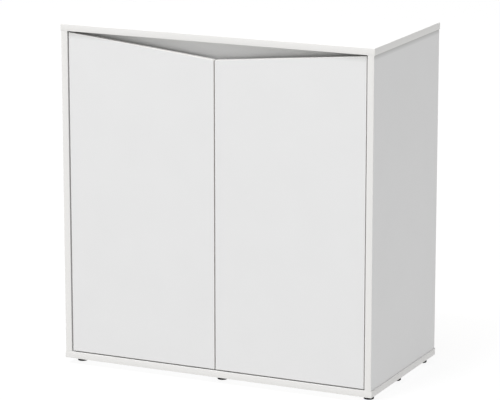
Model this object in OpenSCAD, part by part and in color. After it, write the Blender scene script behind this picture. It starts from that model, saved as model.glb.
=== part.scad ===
// Aquarium stand cabinet: a box of faced chipboard with two inset doors on concealed hinges.
// Origin: centre of the footprint at floor level. +X right, +Y to the back, +Z up.

/* [Cabinet] */
// Width over the top panel
cabinet_w = 800; // [600:10:1000]
// Depth over the top panel
cabinet_d = 400; // [320:5:520]
// Height of the box from the underside of the bottom panel to the top, without the feet
box_h = 815; // [600:5:980]
// Thickness of every board
board_t = 16; // [13:0.1:22]
// How far each side panel stands in from the end of the top and bottom panels
side_inset = 1.5; // [0.5:0.1:4]
// How far the top and bottom panels reach past the rear edges of the side panels
rear_overhang = 1; // [0:0.5:3]
// Thickness of the plastic edge bands
band_t = 1; // [0.4:0.1:2]
// Height of the front rail under the top panel
rail_h = 80; // [70:1:110]

/* [Doors] */
// Gap round each door and between the two doors
door_gap = 3; // [2.5:0.1:5]
// How far the doors' faces lie behind the front edges of the box
door_recess = 2; // [0:0.1:5]
// How far each door's top edge falls from its hinged side to its free side
notch_drop = 38; // [20:1:50]
// Free space that a door's front corner keeps to the side panel while it swings
swing_clearance = 0.5; // [0.3:0.1:1]
// Free space that a door's rear corner keeps to the rail and the hinge arms
rear_clearance = 0.9; // [0.4:0.1:2]

/* [Hinges] */
// Distance of each hinge from the door's bottom edge and from its upper hinged corner
hinge_inset = 110; // [70:1:180]
// Radius of the boring for the hinge cup
cup_bore_r = 17.5; // [13:0.5:20]
// Board left in front of the boring for the hinge cup
cup_skin = 3.5; // [2.5:0.1:3.7]
// Least board left between the cup boring and the door's edge
cup_edge = 4; // [3:0.1:7]
// Wall of the pressed cup
cup_wall = 0.8; // [0.5:0.1:1.2]
// Distance of the hinge pin from the edge of the cup boring
pin_edge = 6; // [5.5:0.1:8]
// Radius of the hinge pin
pin_r = 1.25; // [1:0.05:1.5]
// Radius of the arm's knuckle on the pin
knuckle_r = 2.7; // [2.2:0.1:3]
// Thickness of the hinge arm
arm_t = 2.5; // [2:0.1:3.2]
// Width of the hinge arm along the pin
arm_w = 14; // [10:0.5:15]
// Thickness of the cheeks that hold the pin in the cup
cheek_t = 2; // [1.5:0.1:2.4]
// Thickness of the cup's flange on the door's back
flange_t = 1.2; // [0.8:0.1:2]
// Thickness of the mounting plate on the side panel
plate_t = 3; // [2:0.1:5]
// Running clearance between the hinge pin and the arm's knuckle
pin_clearance = 0.05; // [0.02:0.01:0.1]
// Running clearance between the arm's knuckle and the floor of the cup
knuckle_clearance = 0.3; // [0.2:0.1:1]

/* [Shelf] */
// Distance from the front of the box to the shelf's front edge
shelf_setback = 50; // [40:1:120]
// Free space at the shelf's ends and behind it
shelf_clearance = 1; // [0.5:0.1:3]
// Distance between the shelf's positions
hole_pitch = 32; // [20:1:50]
// Number of heights that the shelf can take
hole_count = 5; // [1:2:7]
// Radius of a shelf pin
shelf_pin_r = 2.5; // [2:0.1:4]

/* [Back] */
// Distance of the seat that the back lies on from the rear edges of the top and bottom panels
back_setback = 8; // [5:0.5:15]
// Width of the rebate in each side panel that takes the back
rebate_w = 8; // [7:0.1:9]
// Thickness of the hardboard back
back_t = 3; // [2.5:0.1:6]
// Radius of the hole for hoses and cables in each half of the back
cable_hole_r = 30; // [15:1:45]
// Distance of each hose hole's centre from the side panel's inner face
cable_hole_side = 70; // [55:1:120]
// Distance of each hose hole's centre from the underside of the top panel
cable_hole_top = 90; // [60:1:150]

/* [Feet] */
// Height of a foot
foot_h = 15; // [12:0.5:40]
// Radius of a foot
foot_r = 12; // [9:0.5:25]
// Distance of the outer feet from the ends of the bottom panel
foot_side = 24; // [20:1:60]
// Distance of the front feet from the front of the box
foot_front = 43; // [30:1:80]
// Distance of the rear feet from the rear of the bottom panel
foot_back = 26; // [20:1:60]

/* [Fasteners] */
// Radial clearance of dowels, cams, pins and screws in their holes
fit = 0.05; // [0.02:0.01:0.15]
// Radius of a cam housing
cam_r = 7.5; // [6:0.1:9]
// Depth of the boring for a cam housing
cam_depth = 12.5; // [10.5:0.1:13]
// Distance from the end of a board to the centre of its cam
cam_reach = 34; // [24:0.5:40]
// Distance of the cams from the front and rear edges of the uprights
cam_inset = 70; // [60:1:100]
// Distance between a cam bolt and the wooden dowel beside it
dowel_pitch = 32; // [24:1:48]
// Radius of a wooden dowel
dowel_r = 4; // [3:0.1:5]
// Length of a wooden dowel
dowel_len = 30; // [25:1:40]
// Depth of holes bored into the face of a board
face_depth = 11; // [9:0.1:12]

/* [Hidden] */
$fn = 48;

X = [1, 0, 0];
Y = [0, 1, 0];
Z = [0, 0, 1];
LEFT = -1;
RIGHT = 1;

board_white = "#E9E9E7";
band_white = "#E4E4E2";
cap_white = "#DCDCDA";
foot_black = "#1E1E20";
steel_grey = "#A9ACB0";
zinc_grey = "#8E9296";
dowel_beech = "#D9B98A";
buffer_clear = "#D5DADA";

// The box
front_y = -cabinet_d / 2;
rear_y = cabinet_d / 2;
bottom_z = foot_h;
floor_z = bottom_z + board_t;
ceiling_z = foot_h + box_h - board_t;
top_z = foot_h + box_h;
side_back_y = rear_y - rear_overhang;
seat_y = rear_y - back_setback;
side_outer_x = cabinet_w / 2 - side_inset;
side_inner_x = side_outer_x - board_t;
side_mid_x = side_outer_x - board_t / 2;
upright_xs = [-side_mid_x, 0, side_mid_x];

// The doors, measured from the outer front corner: a inwards, c backwards
door_w = side_inner_x - 1.5 * door_gap;
door_face_y = front_y + door_recess;
door_foot_z = floor_z + door_gap;
door_head_z = ceiling_z - door_gap;
door_corner_x = side_inner_x - door_gap;
notch_rise = notch_drop / door_w;
hinge_zs = [door_foot_z + hinge_inset, door_head_z - hinge_inset];

// The knuckle clears the floor of the cup, whose boring is a little deeper than the cup
bore_end_gap = 0.2;
cup_floor_c = cup_skin;
pin_depth = cup_floor_c + bore_end_gap + cup_wall + knuckle_clearance + knuckle_r;

// The hinge pin stands far enough in for the front corner to pass the side panel
pin_setback = board_t - pin_depth;
cup_depth = board_t - cup_skin;
corner_room = door_gap - swing_clearance;
pin_offset = cup_bore_r - pin_edge;
pin_a_for_swing = (pow(pin_depth, 2) - pow(corner_room, 2)) / (2 * corner_room);
cup_a = max(cup_edge + cup_bore_r, pin_a_for_swing + pin_offset);
pin_a = cup_a - pin_offset;
rear_corner_r = norm([pin_a, pin_setback]);
stop_c = pin_depth + rear_corner_r + rear_clearance;
stop_y = door_face_y + stop_c;
cup_r = cup_bore_r - fit;
cup_inner_r = cup_r - cup_wall;
cheek_gap = 1;
cheek_z = arm_w / 2 + cheek_gap;
pin_half = cheek_z + cheek_t;
flange_rim = 1;
cup_screw_z = cup_bore_r + 6.5;
cup_screw_a = cup_a + 6;
cup_screw_r = 1.75;
cup_screw_len = 11;
cup_screw_head = [3.4, 1.8];
flange_end_r = 7.5;

// The mounting plate and the arm on it
plate_a = -door_gap;
plate_screw_c = board_t + 37;
plate_len = 32;
plate_h = 50;
plate_screw_z = 16;
plate_screw_r = 2.5;
plate_screw_len = plate_t + 10;
plate_screw_head = [3.8, 1.6];
arm_a = plate_a + plate_t;
neck_a = pin_a + rear_corner_r + rear_clearance;
arm_end_c = plate_screw_c + 14;
arm_screw_cs = [plate_screw_c - 9, plate_screw_c + 8];
arm_screw_r = 2;
arm_screw_head = [3.6, 2];

// Front rail, partition and shelf
rail_y = stop_y;
rail_z = ceiling_z - rail_h;
rail_mid_y = rail_y + board_t / 2;
rail_cam_z = rail_z + 24;
rail_dowel_z = rail_z + 56;
rail_dowel_xs = [-side_inner_x / 2, side_inner_x / 2];
notch_clearance = 0.5;
partition_right_x = board_t / 2;
shelf_y = front_y + shelf_setback;
shelf_back_y = seat_y - shelf_clearance;
shelf_pin_inset = 45;
shelf_pin_ys = [shelf_y + shelf_pin_inset, shelf_back_y - shelf_pin_inset];
shelf_mid_z = (floor_z + ceiling_z) / 2;
hole_zs = [for (i = [0 : hole_count - 1]) shelf_mid_z + (i - (hole_count - 1) / 2) * hole_pitch];
pin_head_r = 4;
pin_flat = 3;
pin_head_len = 8;
pin_stem_len = 8;
pin_hole_depth = 9;
shelf_z = shelf_mid_z + pin_flat;

// Back
back_x = side_inner_x + rebate_w - 1;
back_joint = 0.5;
back_edge_gap = 1;
back_screw_inset = 25;
back_screw_rows = 5;
back_screw_r = 1.5;
back_screw_len = 16;
back_screw_head = [3.2, 1.6];
back_screw_xs = [partition_right_x / 2, (side_inner_x + back_x) / 2];
back_screw_step = (ceiling_z - floor_z - 2 * back_screw_inset) / (back_screw_rows - 1);
back_screw_zs = [for (i = [0 : back_screw_rows - 1]) floor_z + back_screw_inset + i * back_screw_step];
cable_hole_x = side_inner_x - cable_hole_side;
cable_hole_z = ceiling_z - cable_hole_top;

// Feet and door buffers
foot_x = cabinet_w / 2 - foot_side;
foot_front_y = front_y + foot_front;
foot_back_y = rear_y - foot_back;
foot_ys = [foot_front_y, (foot_front_y + foot_back_y) / 2, foot_back_y];
foot_xs = [-foot_x, 0, foot_x];
foot_chamfer = 1;
foot_neck_r = foot_r - 1.5;
foot_floor_t = 6;
foot_well_r = 5;
foot_screw_r = 2;
foot_screw_len = foot_floor_t + face_depth - 0.5;
foot_screw_head = [4, 2.2];
buffer_r = 6;
buffer_gap = 0.3;
buffer_t = stop_c - board_t - buffer_gap;
buffer_edge = 1;
buffer_inset = 60;
buffer_zs = [door_foot_z + buffer_inset, rail_z - buffer_inset];

// Cam fittings
cam_ys = [front_y + cam_inset, seat_y - cam_inset];
dowel_ys = [cam_ys[0] + dowel_pitch, cam_ys[1] - dowel_pitch];
bolt_thread_r = 2.5;
bolt_shank_r = 3.2;
bolt_neck_r = 1.8;
bolt_head_r = 3.2;
bolt_head_t = 2.6;
bolt_neck_len = 4;
bolt_hole_r = 4;
bolt_hole_len = cam_reach + bolt_head_t;
cap_r = cam_r + 1.1;
cap_t = 0.9;
dowel_in_face = face_depth - 0.5;
dowel_hole_end = dowel_len - dowel_in_face + 0.5;
recess_w = 1;
recess_depth = 1.2;
over = 1;

// Rotation that turns +Z to one of the six axis directions
function turn_to(v) =
    v == X ? [0, 90, 0] : v == -X ? [0, -90, 0] :
    v == Y ? [-90, 0, 0] : v == -Y ? [90, 0, 0] :
    v == -Z ? [180, 0, 0] : [0, 0, 0];

// Height of a door's sloping top edge at a distance a from its hinged side
function door_top_at(a) = door_head_z - a * notch_rise;

// Door outline in a and z, pulled in on all sides by a margin
function door_outline(margin) =
    let (slant = margin * norm([1, notch_rise]))
    [
        [margin, door_foot_z + margin],
        [door_w - margin, door_foot_z + margin],
        [door_w - margin, door_top_at(door_w - margin) - slant],
        [margin, door_top_at(margin) - slant]
    ];

module block(low, high) {
    translate(low) cube(high - low);
}

module rod(at, along, r, len) {
    translate(at) rotate(turn_to(along)) cylinder(r = r, h = len);
}

// A screw whose head stands on the seat at the point given and whose shank points along
module screw(at, along, head, r, len) {
    tip = 1.5 * r;
    translate(at) rotate(turn_to(along)) {
        difference() {
            translate([0, 0, -head[1]]) cylinder(r = head[0], h = head[1]);
            for (turn = [0, 90])
                rotate([0, 0, turn])
                    translate([-head[0] * 0.6, -recess_w / 2, -head[1] - over])
                        cube([head[0] * 1.2, recess_w, recess_depth + over]);
        }
        cylinder(r = r, h = len - tip);
        translate([0, 0, len - tip]) cylinder(r1 = r, r2 = r / 4, h = tip);
    }
}

// Places children in a door's own axes: x inwards from the hinged edge, y backwards from the face
module at_door(side) {
    mirror([side == RIGHT ? 1 : 0, 0, 0])
        translate([-door_corner_x, door_face_y, 0])
            children();
}

module at_hinges(side) {
    at_door(side)
        for (z = hinge_zs)
            translate([0, 0, z])
                children();
}

// ---- Boards -------------------------------------------------------------------------------

// A horizontal panel without its bands, with the holes of the uprights' bolts and dowels
module horizontal_panel(low_z, into) {
    face_z = into == Z ? low_z : low_z + board_t;
    difference() {
        block([-cabinet_w / 2 + band_t, front_y + band_t, low_z],
              [cabinet_w / 2 - band_t, rear_y, low_z + board_t]);
        for (x = upright_xs) {
            for (y = cam_ys)
                rod([x, y, face_z] - over * into, into, bolt_thread_r + fit, face_depth + over);
            for (y = dowel_ys)
                rod([x, y, face_z] - over * into, into, dowel_r + fit, face_depth + over);
        }
        children();
    }
}

module top_panel() {
    color(board_white)
        horizontal_panel(ceiling_z, Z)
            for (x = rail_dowel_xs)
                rod([x, rail_mid_y, ceiling_z - over], Z, dowel_r + fit, face_depth + over);
}

module bottom_panel() {
    color(board_white)
        horizontal_panel(bottom_z, -Z)
            for (x = foot_xs, y = foot_ys)
                rod([x, y, bottom_z - over], Z, foot_screw_r + fit, face_depth + over);
}

// Holes in both ends of an upright: bolt holes, dowel holes and the cams in its face
module upright_joint_holes(mid_x, face_x, into) {
    for (y = cam_ys) {
        rod([mid_x, y, floor_z - over], Z, bolt_hole_r, bolt_hole_len + over);
        rod([mid_x, y, ceiling_z + over], -Z, bolt_hole_r, bolt_hole_len + over);
        for (z = [floor_z + cam_reach, ceiling_z - cam_reach])
            rod([face_x, y, z] - over * into, into, cam_r, cam_depth + over);
    }
    for (y = dowel_ys) {
        rod([mid_x, y, floor_z - over], Z, dowel_r + fit, dowel_hole_end + over);
        rod([mid_x, y, ceiling_z + over], -Z, dowel_r + fit, dowel_hole_end + over);
    }
}

module shelf_pin_holes(face_x, into) {
    for (y = shelf_pin_ys, z = hole_zs)
        rod([face_x, y, z] - over * into, into, shelf_pin_r + fit, pin_hole_depth + over);
}

module back_screw_pilots(x) {
    for (z = back_screw_zs)
        rod([x, seat_y + over, z], -Y, back_screw_r + fit, back_screw_len - back_t + over);
}

module side_panel(side) {
    mirror([side == LEFT ? 1 : 0, 0, 0])
        difference() {
            block([side_inner_x, front_y + band_t, floor_z],
                  [side_outer_x, side_back_y, ceiling_z]);
            block([side_inner_x - over, seat_y, floor_z - over],
                  [side_inner_x + rebate_w, side_back_y + over, ceiling_z + over]);
            upright_joint_holes(side_mid_x, side_inner_x, X);
            back_screw_pilots(back_screw_xs[1]);
            rod([side_inner_x - over, rail_mid_y, rail_cam_z], X,
                bolt_thread_r + fit, face_depth + over);
            rod([side_inner_x - over, rail_mid_y, rail_dowel_z], X,
                dowel_r + fit, face_depth + over);
            for (z = hinge_zs, dz = [-plate_screw_z, plate_screw_z])
                rod([side_inner_x - over, door_face_y + plate_screw_c, z + dz], X,
                    plate_screw_r + fit, face_depth + over);
            if (side == RIGHT) shelf_pin_holes(side_inner_x, X);
        }
}

module left_side_panel() {
    color(board_white) side_panel(LEFT);
}

module right_side_panel() {
    color(board_white) side_panel(RIGHT);
}

module centre_partition() {
    color(board_white)
        difference() {
            block([-board_t / 2, rail_y + band_t, floor_z],
                  [board_t / 2, seat_y, ceiling_z]);
            block([-board_t, rail_y - over, rail_z - notch_clearance],
                  [board_t, rail_y + board_t + notch_clearance, ceiling_z + over]);
            upright_joint_holes(0, -board_t / 2, X);
            for (x = [-back_screw_xs[0], back_screw_xs[0]])
                back_screw_pilots(x);
            shelf_pin_holes(partition_right_x, -X);
        }
}

module front_rail() {
    color(board_white)
        difference() {
            block([-side_inner_x, rail_y, rail_z + band_t],
                  [side_inner_x, rail_y + board_t, ceiling_z]);
            for (x = rail_dowel_xs)
                rod([x, rail_mid_y, ceiling_z + over], -Z, dowel_r + fit, dowel_hole_end + over);
            for (side = [LEFT, RIGHT]) {
                end_x = side * side_inner_x;
                into = -side * X;
                rod([end_x, rail_mid_y, rail_cam_z] - over * into, into,
                    bolt_hole_r, bolt_hole_len + over);
                rod([end_x, rail_mid_y, rail_dowel_z] - over * into, into,
                    dowel_r + fit, dowel_hole_end + over);
                rod([end_x - side * cam_reach, rail_y + board_t + over, rail_cam_z], -Y,
                    cam_r, cam_depth + over);
            }
        }
}

module back_half(side) {
    mirror([side == LEFT ? 1 : 0, 0, 0])
        difference() {
            block([back_joint / 2, seat_y, floor_z + back_edge_gap],
                  [back_x, seat_y + back_t, ceiling_z - back_edge_gap]);
            rod([cable_hole_x, seat_y - over, cable_hole_z], Y,
                cable_hole_r, back_t + 2 * over);
            for (x = back_screw_xs, z = back_screw_zs)
                rod([x, seat_y - over, z], Y, back_screw_r + fit, back_t + 2 * over);
        }
}

module left_back_panel() {
    color(board_white) back_half(LEFT);
}

module right_back_panel() {
    color(board_white) back_half(RIGHT);
}

module shelf() {
    color(board_white)
        block([partition_right_x + shelf_clearance, shelf_y + band_t, shelf_z],
              [side_inner_x - shelf_clearance, shelf_back_y, shelf_z + board_t]);
}

module shelf_pin(face_x, into) {
    for (y = shelf_pin_ys) {
        rod([face_x, y, shelf_mid_z], into, shelf_pin_r, pin_stem_len);
        difference() {
            rod([face_x, y, shelf_mid_z], -into, pin_head_r, pin_head_len);
            block([face_x - 2 * pin_head_len, y - pin_head_r, shelf_mid_z + pin_flat],
                  [face_x + 2 * pin_head_len, y + pin_head_r, shelf_mid_z + pin_head_r + over]);
        }
    }
}

module shelf_pins() {
    color(steel_grey) {
        shelf_pin(partition_right_x, -X);
        shelf_pin(side_inner_x, X);
    }
}

// ---- Edge bands ---------------------------------------------------------------------------

// Band along the front and both ends of a horizontal panel
module panel_bands(low_z) {
    difference() {
        block([-cabinet_w / 2, front_y, low_z], [cabinet_w / 2, rear_y, low_z + board_t]);
        block([-cabinet_w / 2 + band_t, front_y + band_t, low_z - over],
              [cabinet_w / 2 - band_t, rear_y + over, low_z + board_t + over]);
    }
}

module top_edge_bands() {
    color(band_white) panel_bands(ceiling_z);
}

module bottom_edge_bands() {
    color(band_white) panel_bands(bottom_z);
}

module upright_edge_bands() {
    color(band_white) {
        for (x = [-side_outer_x, side_inner_x])
            block([x, front_y, floor_z], [x + board_t, front_y + band_t, ceiling_z]);
        block([-board_t / 2, rail_y, floor_z],
              [board_t / 2, rail_y + band_t, rail_z - notch_clearance]);
    }
}

module rail_edge_band() {
    color(band_white)
        block([-side_inner_x, rail_y, rail_z], [side_inner_x, rail_y + board_t, rail_z + band_t]);
}

module shelf_edge_band() {
    color(band_white)
        block([partition_right_x + shelf_clearance, shelf_y, shelf_z],
              [side_inner_x - shelf_clearance, shelf_y + band_t, shelf_z + board_t]);
}

// ---- Fasteners ----------------------------------------------------------------------------

// A cam housing: a disc with a side opening for the bolt's head and a cross slot
module cam(at, into, bolt_from) {
    difference() {
        rod(at, into, cam_r - fit, cam_depth - bore_end_gap);
        rod(at + board_t / 2 * into + (cam_r + over) * bolt_from,
            -bolt_from, bolt_hole_r, cam_r + over + bolt_head_r);
        translate(at) rotate(turn_to(into))
            for (turn = [0, 90])
                rotate([0, 0, turn])
                    translate([-cam_r * 0.6, -recess_w, -over])
                        cube([cam_r * 1.2, 2 * recess_w, recess_depth + over]);
    }
}

// A cam bolt: thread in the face of one board, shank in the end of the other, head in the cam
module cam_bolt(at, into) {
    shank = cam_reach - bolt_neck_len - bolt_head_t / 2;
    rod(at, into, bolt_thread_r, face_depth - 0.5);
    rod(at - shank * into, into, bolt_shank_r, shank);
    rod(at - (cam_reach - bolt_head_t / 2) * into, into, bolt_neck_r, bolt_neck_len);
    rod(at - (cam_reach + bolt_head_t / 2) * into, into, bolt_head_r, bolt_head_t);
}

module cam_housings() {
    color(zinc_grey) {
        for (y = cam_ys) {
            for (end = [[ceiling_z - cam_reach, Z], [floor_z + cam_reach, -Z]]) {
                cam([-side_inner_x, y, end[0]], -X, end[1]);
                cam([side_inner_x, y, end[0]], X, end[1]);
                cam([-board_t / 2, y, end[0]], X, end[1]);
            }
        }
        for (side = [LEFT, RIGHT])
            cam([side * (side_inner_x - cam_reach), rail_y + board_t, rail_cam_z], -Y, side * X);
    }
}

module cam_bolts() {
    color(steel_grey) {
        for (x = upright_xs, y = cam_ys) {
            cam_bolt([x, y, ceiling_z], Z);
            cam_bolt([x, y, floor_z], -Z);
        }
        for (side = [LEFT, RIGHT])
            cam_bolt([side * side_inner_x, rail_mid_y, rail_cam_z], side * X);
    }
}

module cam_cover_caps() {
    color(cap_white) {
        for (y = cam_ys, z = [floor_z + cam_reach, ceiling_z - cam_reach]) {
            rod([-side_inner_x, y, z], X, cap_r, cap_t);
            rod([side_inner_x, y, z], -X, cap_r, cap_t);
            rod([-board_t / 2, y, z], -X, cap_r, cap_t);
        }
        for (side = [LEFT, RIGHT])
            rod([side * (side_inner_x - cam_reach), rail_y + board_t, rail_cam_z], Y, cap_r, cap_t);
    }
}

module dowel(at, into) {
    rod(at - (dowel_len - dowel_in_face) * into, into, dowel_r, dowel_len);
}

module wooden_dowels() {
    color(dowel_beech) {
        for (x = upright_xs, y = dowel_ys) {
            dowel([x, y, ceiling_z], Z);
            dowel([x, y, floor_z], -Z);
        }
        for (x = rail_dowel_xs)
            dowel([x, rail_mid_y, ceiling_z], Z);
        for (side = [LEFT, RIGHT])
            dowel([side * side_inner_x, rail_mid_y, rail_dowel_z], side * X);
    }
}

module back_panel_screws() {
    color(steel_grey)
        for (x = back_screw_xs, side = [LEFT, RIGHT], z = back_screw_zs)
            screw([side * x, seat_y + back_t, z], -Y,
                  back_screw_head, back_screw_r, back_screw_len);
}

// ---- Feet and buffers ---------------------------------------------------------------------

module foot() {
    difference() {
        rotate_extrude()
            polygon([
                [0, 0], [foot_r - foot_chamfer, 0], [foot_r, foot_chamfer],
                [foot_r, foot_h / 2], [foot_neck_r, foot_h], [0, foot_h]
            ]);
        translate([0, 0, -over]) cylinder(r = foot_well_r, h = foot_h - foot_floor_t + over);
        cylinder(r = foot_screw_r + fit, h = foot_h + over);
    }
}

module feet() {
    color(foot_black)
        for (x = foot_xs, y = foot_ys)
            translate([x, y, 0]) foot();
}

module foot_screws() {
    color(steel_grey)
        for (x = foot_xs, y = foot_ys)
            screw([x, y, foot_h - foot_floor_t], Z, foot_screw_head, foot_screw_r, foot_screw_len);
}

module door_buffers() {
    color(buffer_clear)
        for (z = buffer_zs)
            translate([0, stop_y, z]) rotate(turn_to(-Y)) {
                cylinder(r = buffer_r, h = buffer_t - buffer_edge);
                translate([0, 0, buffer_t - buffer_edge])
                    cylinder(r1 = buffer_r, r2 = buffer_r - buffer_edge, h = buffer_edge);
            }
}

// ---- Hinges: the side fixed to the cabinet ------------------------------------------------

module hinge_plate() {
    difference() {
        block([plate_a, plate_screw_c - plate_len / 2, -plate_h / 2],
              [plate_a + plate_t, plate_screw_c + plate_len / 2, plate_h / 2]);
        for (z = [-plate_screw_z, plate_screw_z])
            rod([plate_a - over, plate_screw_c, z], X, plate_screw_r + fit, plate_t + 2 * over);
        for (c = arm_screw_cs)
            rod([plate_a - over, c, 0], X, arm_screw_r + fit, plate_t + 2 * over);
    }
}

module left_hinge_plates() {
    color(steel_grey) at_hinges(LEFT) hinge_plate();
}

module right_hinge_plates() {
    color(steel_grey) at_hinges(RIGHT) hinge_plate();
}

module plate_screw_pair() {
    for (z = [-plate_screw_z, plate_screw_z])
        screw([plate_a + plate_t, plate_screw_c, z], -X,
              plate_screw_head, plate_screw_r, plate_screw_len);
}

module left_plate_screws() {
    color(zinc_grey) at_hinges(LEFT) plate_screw_pair();
}

module right_plate_screws() {
    color(zinc_grey) at_hinges(RIGHT) plate_screw_pair();
}

// The cranked arm: in from the pin, back out of the cup, across to the side panel and along it
module hinge_arm() {
    difference() {
        translate([0, 0, -arm_w / 2]) {
            linear_extrude(arm_w)
                polygon([
                    [pin_a, pin_depth - arm_t / 2],
                    [neck_a + arm_t, pin_depth - arm_t / 2],
                    [neck_a + arm_t, stop_c + arm_t],
                    [arm_a + arm_t, stop_c + arm_t],
                    [arm_a + arm_t, arm_end_c],
                    [arm_a, arm_end_c],
                    [arm_a, stop_c],
                    [neck_a, stop_c],
                    [neck_a, pin_depth + arm_t / 2],
                    [pin_a, pin_depth + arm_t / 2]
                ]);
            translate([pin_a, pin_depth, 0]) cylinder(r = knuckle_r, h = arm_w);
        }
        translate([pin_a, pin_depth, -arm_w / 2 - over])
            cylinder(r = pin_r + pin_clearance, h = arm_w + 2 * over);
        for (c = arm_screw_cs)
            rod([arm_a - over, c, 0], X, arm_screw_r + fit, arm_t + 2 * over);
    }
}

module left_hinge_arms() {
    color(steel_grey) at_hinges(LEFT) hinge_arm();
}

module right_hinge_arms() {
    color(steel_grey) at_hinges(RIGHT) hinge_arm();
}

module arm_screw_pair() {
    for (c = arm_screw_cs)
        screw([arm_a + arm_t, c, 0], -X, arm_screw_head, arm_screw_r, arm_t + plate_t);
}

module left_arm_screws() {
    color(zinc_grey) at_hinges(LEFT) arm_screw_pair();
}

module right_arm_screws() {
    color(zinc_grey) at_hinges(RIGHT) arm_screw_pair();
}

// ---- Doors and the side of the hinges that moves with them --------------------------------

// A board of the door's outline with its thickness along y
module door_slab(margin) {
    translate([0, board_t, 0]) rotate([90, 0, 0])
        linear_extrude(board_t) polygon(door_outline(margin));
}

module door(side) {
    difference() {
        at_door(side) door_slab(band_t);
        at_hinges(side) {
            rod([cup_a, board_t + over, 0], -Y, cup_bore_r, cup_depth + over);
            for (z = [-cup_screw_z, cup_screw_z])
                rod([cup_screw_a, board_t + over, z], -Y,
                    cup_screw_r + fit, cup_screw_len - flange_t + over);
        }
    }
}

module left_door() {
    color(board_white) door(LEFT);
}

module right_door() {
    color(board_white) door(RIGHT);
}

module door_bands(side) {
    at_door(side)
        difference() {
            door_slab(0);
            translate([0, board_t + over, 0]) rotate([90, 0, 0])
                linear_extrude(board_t + 2 * over) polygon(door_outline(band_t));
        }
}

module left_door_edge_bands() {
    color(band_white) door_bands(LEFT);
}

module right_door_edge_bands() {
    color(band_white) door_bands(RIGHT);
}

// The pressed cup with its flange, and the two cheeks that hold the pin
module hinge_cup() {
    difference() {
        union() {
            rod([cup_a, cup_floor_c + bore_end_gap, 0], Y, cup_r,
                cup_depth - bore_end_gap);
            rod([cup_a, board_t, 0], Y, cup_bore_r + flange_rim, flange_t);
            block([cup_screw_a - flange_end_r, board_t, -cup_screw_z],
                  [cup_screw_a + flange_end_r, board_t + flange_t, cup_screw_z]);
            for (z = [-cup_screw_z, cup_screw_z])
                rod([cup_screw_a, board_t, z], Y, flange_end_r, flange_t);
        }
        difference() {
            rod([cup_a, cup_floor_c + bore_end_gap + cup_wall, 0], Y, cup_inner_r, board_t);
            for (z = [-pin_half, cheek_z])
                block([cup_a - cup_r, cup_floor_c, z],
                      [pin_a + 2 * knuckle_r, board_t - 2 * pin_r, z + cheek_t]);
        }
        translate([pin_a, pin_depth, -pin_half])
            cylinder(r = pin_r + fit / 2, h = 2 * pin_half);
        for (z = [-cup_screw_z, cup_screw_z])
            rod([cup_screw_a, board_t - over, z], Y, cup_screw_r + fit, flange_t + 2 * over);
    }
}

module left_hinge_cups() {
    color(steel_grey) at_hinges(LEFT) hinge_cup();
}

module right_hinge_cups() {
    color(steel_grey) at_hinges(RIGHT) hinge_cup();
}

module hinge_pin() {
    translate([pin_a, pin_depth, -pin_half]) cylinder(r = pin_r, h = 2 * pin_half);
}

module left_hinge_pins() {
    color(zinc_grey) at_hinges(LEFT) hinge_pin();
}

module right_hinge_pins() {
    color(zinc_grey) at_hinges(RIGHT) hinge_pin();
}

module cup_screw_pair() {
    for (z = [-cup_screw_z, cup_screw_z])
        screw([cup_screw_a, board_t + flange_t, z], -Y,
              cup_screw_head, cup_screw_r, cup_screw_len);
}

module left_cup_screws() {
    color(zinc_grey) at_hinges(LEFT) cup_screw_pair();
}

module right_cup_screws() {
    color(zinc_grey) at_hinges(RIGHT) cup_screw_pair();
}

top_panel();
bottom_panel();
left_side_panel();
right_side_panel();
centre_partition();
front_rail();
left_back_panel();
right_back_panel();
shelf();
shelf_pins();
top_edge_bands();
bottom_edge_bands();
upright_edge_bands();
rail_edge_band();
shelf_edge_band();
cam_housings();
cam_bolts();
cam_cover_caps();
wooden_dowels();
back_panel_screws();
feet();
foot_screws();
door_buffers();
left_hinge_plates();
right_hinge_plates();
left_plate_screws();
right_plate_screws();
left_hinge_arms();
right_hinge_arms();
left_arm_screws();
right_arm_screws();
left_door();
right_door();
left_door_edge_bands();
right_door_edge_bands();
left_hinge_cups();
right_hinge_cups();
left_hinge_pins();
right_hinge_pins();
left_cup_screws();
right_cup_screws();
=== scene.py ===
"""Aquarium stand cabinet: white faced board, two inset doors on concealed hinges, black feet.

Everything is in metres in the cabinet's own frame: X right, Y to the back, Z up, floor at 0.
"""
import math

import bmesh
import bpy
import numpy as np
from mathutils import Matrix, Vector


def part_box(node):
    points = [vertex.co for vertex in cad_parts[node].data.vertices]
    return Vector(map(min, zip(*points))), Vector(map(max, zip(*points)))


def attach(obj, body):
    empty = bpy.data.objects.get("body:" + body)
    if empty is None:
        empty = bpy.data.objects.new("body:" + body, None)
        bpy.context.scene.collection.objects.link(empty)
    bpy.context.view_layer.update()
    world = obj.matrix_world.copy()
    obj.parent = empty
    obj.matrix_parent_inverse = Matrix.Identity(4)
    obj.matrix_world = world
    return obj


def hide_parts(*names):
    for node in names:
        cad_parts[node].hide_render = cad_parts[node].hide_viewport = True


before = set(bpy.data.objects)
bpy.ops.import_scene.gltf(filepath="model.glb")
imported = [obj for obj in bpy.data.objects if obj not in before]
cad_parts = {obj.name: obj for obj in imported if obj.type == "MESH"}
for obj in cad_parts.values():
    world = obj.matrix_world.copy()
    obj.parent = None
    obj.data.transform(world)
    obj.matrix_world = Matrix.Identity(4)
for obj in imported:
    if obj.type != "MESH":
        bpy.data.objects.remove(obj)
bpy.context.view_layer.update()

# ---- Camera -----------------------------------------------------------------------------------
# A long lens to the right of the doors and a little above the top, as for a catalogue picture.
# It stands nearly seven metres off, so that upright edges stay nearly parallel.

VIEW_AZIMUTH = 25.085
VIEW_ELEVATION = 13.056
LENS_MM = 200.68
SENSOR_MM = 36.0
CAMERA_AT = (2.750, -5.878, 1.907)

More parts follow.
